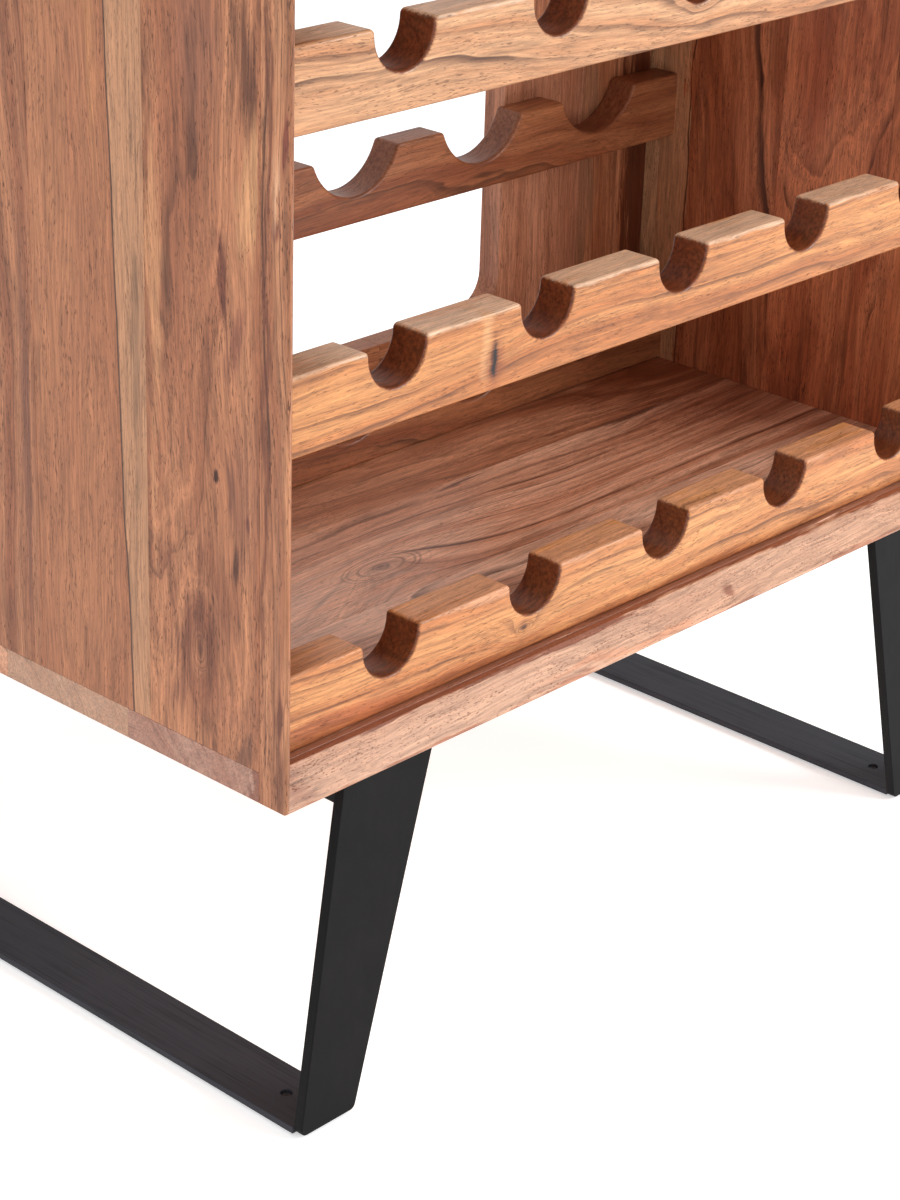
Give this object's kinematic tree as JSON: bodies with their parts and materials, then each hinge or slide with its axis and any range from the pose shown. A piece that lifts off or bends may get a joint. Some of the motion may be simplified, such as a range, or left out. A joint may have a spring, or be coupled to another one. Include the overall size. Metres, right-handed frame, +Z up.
{
  "type": "wine rack",
  "caption": "Free-standing hardwood wine rack with notched rails that hold lying bottles, a windowed back and two flat-bar sled legs.",
  "frame": {"origin": "on the floor, under the middle of the case", "axes": "+Z up, front faces -Y, rows of bottles run along X"},
  "size_m": [0.6, 0.36, 0.824],
  "materials": {
    "side_wood": "satin lacquer",
    "deck_wood": "satin lacquer",
    "back_wood": "satin lacquer",
    "rail_wood": "satin lacquer",
    "edging_wood": "satin lacquer",
    "dowel_wood": "plain",
    "leg_steel": "black powder coat",
    "screw_steel": "zinc plated",
    "glide_plastic": "moulded"
  },
  "bodies": {
    "root": {"back_board_bottom_1": "back_wood", "back_board_bottom_2": "back_wood", "back_board_bottom_3": "back_wood", "back_board_left_inner": "back_wood", "back_board_left_outer": "back_wood", "back_board_right_inner": "back_wood", "back_board_right_outer": "back_wood", "back_board_top_1": "back_wood", "back_board_top_2": "back_wood", "back_board_top_3": "back_wood", "back_panel_screws": "screw_steel", "bottom_board_1": "deck_wood", "bottom_board_2": "deck_wood", "bottom_board_3": "deck_wood", "bottom_board_4": "deck_wood", "bottom_edging": "edging_wood", "front_rail_1": "rail_wood", "front_rail_2": "rail_wood", "front_rail_3": "rail_wood", "front_rail_4": "rail_wood", "left_edging": "edging_wood", "left_front_glide": "glide_plastic", "left_leg_angle_bar": "leg_steel", "left_leg_front_upright": "leg_steel", "left_leg_rear_upright": "leg_steel", "left_leg_sled_bar": "leg_steel", "left_rear_glide": "glide_plastic", "left_side_board_1": "side_wood", "left_side_board_2": "side_wood", "left_side_board_3": "side_wood", "left_side_board_4": "side_wood", "leg_screws": "screw_steel", "rail_dowels": "dowel_wood", "rear_rail_1": "rail_wood", "rear_rail_2": "rail_wood", "rear_rail_3": "rail_wood", "rear_rail_4": "rail_wood", "right_edging": "edging_wood", "right_front_glide": "glide_plastic", "right_leg_angle_bar": "leg_steel", "right_leg_front_upright": "leg_steel", "right_leg_rear_upright": "leg_steel", "right_leg_sled_bar": "leg_steel", "right_rear_glide": "glide_plastic", "right_side_board_1": "side_wood", "right_side_board_2": "side_wood", "right_side_board_3": "side_wood", "right_side_board_4": "side_wood", "top_board_1": "deck_wood", "top_board_2": "deck_wood", "top_board_3": "deck_wood", "top_board_4": "deck_wood", "top_edging": "edging_wood"}
  },
  "joints": []
}
